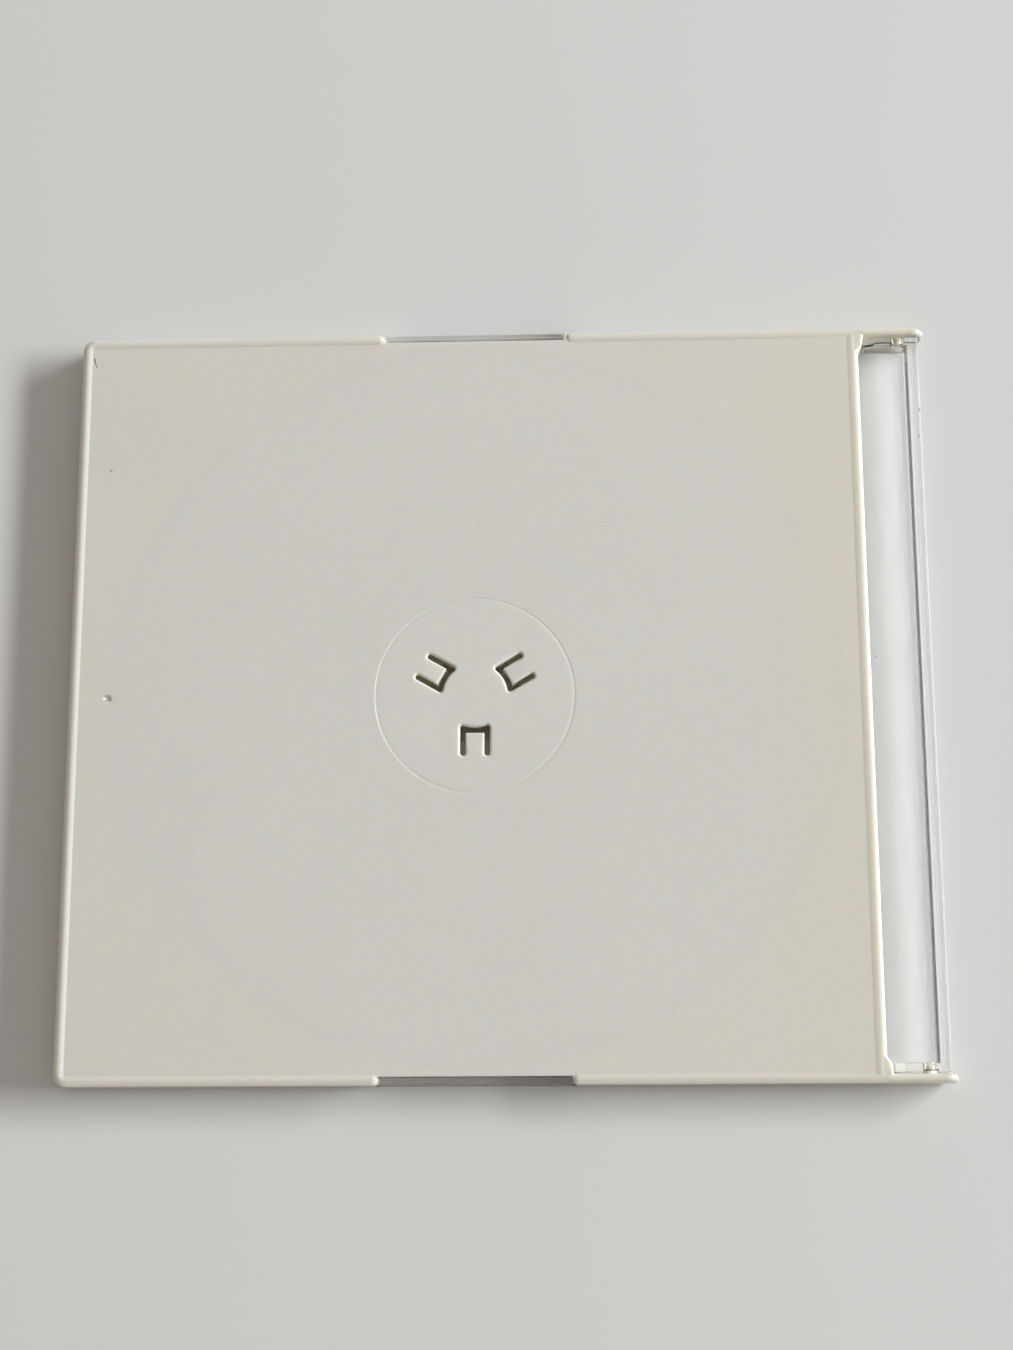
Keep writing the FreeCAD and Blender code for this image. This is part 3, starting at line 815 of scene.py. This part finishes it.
@dataclass
class PressedDisc:
    """Plain unprinted disc on the hub, its metal side against the lid."""

    outer_mm: float = 60.0
    hole_mm: float = 7.5
    thickness_mm: float = 1.2
    edge_mm: float = 0.12
    clear_to_mm: float = 18.5
    mirror_to_mm: float = 22.3
    film_to_mm: float = 59.2
    ring_mm: float = 17.2
    ring_half_mm: float = 0.4
    ring_height_mm: float = 0.18
    path_mm: float = 30.0
    steps: int = 240
    # Least upward share of the normal on a face that counts as flat
    flat_share: float = 0.9

    def profile(self, low_mm: float) -> list[tuple[float, float]]:
        """Half section of the disc.

        Args:
            low_mm: Height of its metal side.

        Returns:
            Radius and height of each corner, anticlockwise.
        """
        high = low_mm + self.thickness_mm
        edge = self.edge_mm
        half = self.ring_half_mm
        return [
            (self.hole_mm, low_mm + edge), (self.hole_mm + edge, low_mm),
            (self.clear_to_mm, low_mm), (self.mirror_to_mm, low_mm), (self.film_to_mm, low_mm),
            (self.outer_mm - edge, low_mm), (self.outer_mm, low_mm + edge),
            (self.outer_mm, high - edge), (self.outer_mm - edge, high),
            (self.film_to_mm, high), (self.mirror_to_mm, high), (self.clear_to_mm, high),
            (self.ring_mm + half, high), (self.ring_mm + half / 2, high + self.ring_height_mm),
            (self.ring_mm - half / 2, high + self.ring_height_mm), (self.ring_mm - half, high),
            (self.hole_mm + edge, high), (self.hole_mm, high - edge),
        ]

    def section(self) -> bpy.types.Mesh:
        """Draws the half section as a closed outline, measured from the path it is swept along.

        Returns:
            A mesh of edges, with the radius along X and the height along -Y, which the sweep
            turns up.
        """
        low_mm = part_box("disc")[0].z / MM
        points = [((r - self.path_mm) * MM, -z * MM, 0.0) for r, z in reversed(self.profile(low_mm))]
        edges = [(i, (i + 1) % len(points)) for i in range(len(points))]
        mesh = bpy.data.meshes.new("disc_section")
        mesh.from_pydata(points, edges, [])
        return mesh

    def sweep(self, shape: Shape, middle: Socket) -> Socket:
        """Sweeps the section round the hub.

        Args:
            shape: The tree.
            middle: Place of the hub's axis.

        Returns:
            The whole disc in one finish.
        """
        given = shape.given
        section = shape.add("GeometryNodeMeshToCurve", {"Mesh": given["Geometry"]}).outputs[0]
        path = {"Resolution": given["Steps"], "Radius": given["Path Radius"]}
        path = shape.add("GeometryNodeCurvePrimitiveCircle", path, mode="RADIUS").outputs[0]
        swept = {"Curve": path, "Profile Curve": section}
        swept = shape.add("GeometryNodeCurveToMesh", swept).outputs[0]
        moved = {"Geometry": swept, "Translation": middle}
        return shape.add("GeometryNodeTransform", moved).outputs[0]

    def build(self) -> bpy.types.Object:
        """Sweeps the disc, and finishes each of its zones by its radius.

        Returns:
            The disc's object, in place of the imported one.
        """
        shape = Shape("pressed_disc", {
            "Hub X": HUB.x,
            "Path Radius": self.path_mm * MM,
            "Clear To": self.clear_to_mm * MM,
            "Mirror To": self.mirror_to_mm * MM,
            "Film To": self.film_to_mm * MM,
            "Steps": self.steps,
        })
        given = shape.given
        middle = shape.add("ShaderNodeCombineXYZ", {"X": given["Hub X"]}).outputs[0]
        radius = shape.distance(shape.add("GeometryNodeInputPosition").outputs[0], middle, ACROSS)
        normal = shape.add("GeometryNodeInputNormal").outputs[0]
        upward = shape.add("ShaderNodeSeparateXYZ", {0: normal}).outputs["Z"]
        upward = shape.add("ShaderNodeMath", {0: upward}, operation="ABSOLUTE").outputs[0]
        level = {0: upward, 1: self.flat_share}
        level = shape.add("ShaderNodeMath", level, operation="GREATER_THAN").outputs[0]
        film = shape.ring(level, radius, given["Clear To"], given["Film To"])
        mirror = shape.ring(level, radius, given["Clear To"], given["Mirror To"])
        crisp = {"Geometry": self.sweep(shape, middle), "Selection": level, "Shade Smooth": False}
        crisp = shape.add("GeometryNodeSetShadeSmooth", crisp).outputs[0]
        painted = shape.add("GeometryNodeRealizeInstances", {0: crisp}).outputs[0]
        for faces, finish in (
            (True, DiscPolycarbonate().make()),
            (film, DiscLacquer().make(FilmZone.DATA)),
            (mirror, DiscLacquer().make(FilmZone.MIRROR)),
        ):
            coat = {"Geometry": painted, "Selection": faces, "Material": finish}
            painted = shape.add("GeometryNodeSetMaterial", coat).outputs[0]
        piece = shape.apply(self.section(), painted)
        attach(piece, "tray")
        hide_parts("disc")
        return piece


@dataclass
class Studio:
    """Table, light and camera. None of it is part of the case."""

    # The camera was fitted to the outline of the case
    focal_px: float = 2258.8
    frame_height_px: int = 1350
    sensor_mm: float = 36.0
    near_clip: float = 0.01
    camera_at: Point = (0.0125239, -0.082283, 0.3626426)
    aim_at: Point = (0.0004664, 0.004426, 0.0)
    heading_deg: float = 0.1812
    table_width: float = 3.0
    table_gap: float = 0.00004
    key_azimuth_deg: float = 13.0
    key_elevation_deg: float = 22.3
    key_distance: float = 2.5
    key_size: tuple[float, float] = (1.6, 0.333)
    key_watts: float = 80.0
    key_colour: str = "#F4FAFF"
    sky_colour: str = "#FFF7F0"
    sky_strength: float = 0.335
    sky_slant: float = 0.3

    def build(self) -> None:
        """Makes the table, the window light, the sky and the camera."""
        self.make_table()
        self.make_key()
        self.make_sky()
        self.make_camera()
        bpy.context.scene.view_settings.view_transform = "Standard"

    def make_table(self) -> None:
        """Lays a flat table under the case."""
        half = self.table_width / 2
        low = -self.table_gap
        corners = [(-half, -half, low), (half, -half, low), (half, half, low), (-half, half, low)]
        mesh = bpy.data.meshes.new("table")
        mesh.from_pydata(corners, [], [(0, 1, 2, 3)])
        mesh.materials.append(TableTop().make())
        table = bpy.data.objects.new("table", mesh)
        bpy.context.scene.collection.objects.link(table)

    def make_key(self) -> None:
        """Hangs a large soft light, like a window, low on the hinge side."""
        light = bpy.data.lights.new("window", "AREA")
        light.shape = "RECTANGLE"
        light.size, light.size_y = self.key_size
        light.energy = self.key_watts
        light.color = linear(self.key_colour)[:3]
        azimuth = math.radians(self.key_azimuth_deg)
        elevation = math.radians(self.key_elevation_deg)
        level = math.cos(elevation)
        away = Vector((level * math.cos(azimuth), level * math.sin(azimuth), math.sin(elevation)))
        lamp = bpy.data.objects.new("window", light)
        lamp.location = away * self.key_distance
        lamp.rotation_euler = away.to_track_quat("Z", "Y").to_euler()
        lamp.visible_transmission = False
        bpy.context.scene.collection.objects.link(lamp)

    def make_sky(self) -> None:
        """Fills the room with soft light, stronger from the window's side than from behind."""
        world = bpy.data.worlds.new("room")
        bpy.context.scene.world = world
        world.use_nodes = True
        room = Nodes(world.node_tree)
        ray = room.add("ShaderNodeTexCoord").outputs["Generated"]
        side = room.add("ShaderNodeSeparateXYZ", {0: ray}).outputs["X"]
        slant = {0: side, 1: self.sky_slant * self.sky_strength, 2: self.sky_strength}
        strength = room.add("ShaderNodeMath", slant, operation="MULTIPLY_ADD").outputs[0]
        inputs = {"Color": linear(self.sky_colour), "Strength": strength}
        glow = room.add("ShaderNodeBackground", inputs).outputs[0]
        room.add("ShaderNodeOutputWorld", {"Surface": glow})

    def make_camera(self) -> None:
        """Places the camera where the photograph was taken from."""
        eye = Vector(self.camera_at)
        back = (eye - Vector(self.aim_at)).normalized()
        heading = math.radians(self.heading_deg)
        right = Vector((math.sin(heading), math.cos(heading), 0.0)).cross(back).normalized()
        up = back.cross(right)
        turn = Matrix((right, up, back)).transposed().to_4x4()
        data = bpy.data.cameras.new("camera")
        data.sensor_width = self.sensor_mm
        data.lens = self.focal_px * self.sensor_mm / self.frame_height_px
        data.clip_start = self.near_clip
        camera = bpy.data.objects.new("camera", data)
        camera.matrix_world = Matrix.Translation(eye) @ turn
        bpy.context.scene.collection.objects.link(camera)
        bpy.context.scene.camera = camera


def main() -> None:
    """Builds the pieces in order and reports each one."""
    logging.basicConfig(level=logging.INFO, format="%(name)s: %(message)s")
    Studio().build()
    LOG.info("studio ready")
    for maker in (Tray(), ClearLid(), PressedDisc()):
        piece = maker.build()
        LOG.info("%s built as %s, %d faces", type(maker).__name__, piece.name, len(piece.data.polygons))


if __name__ == "__main__":
    main()
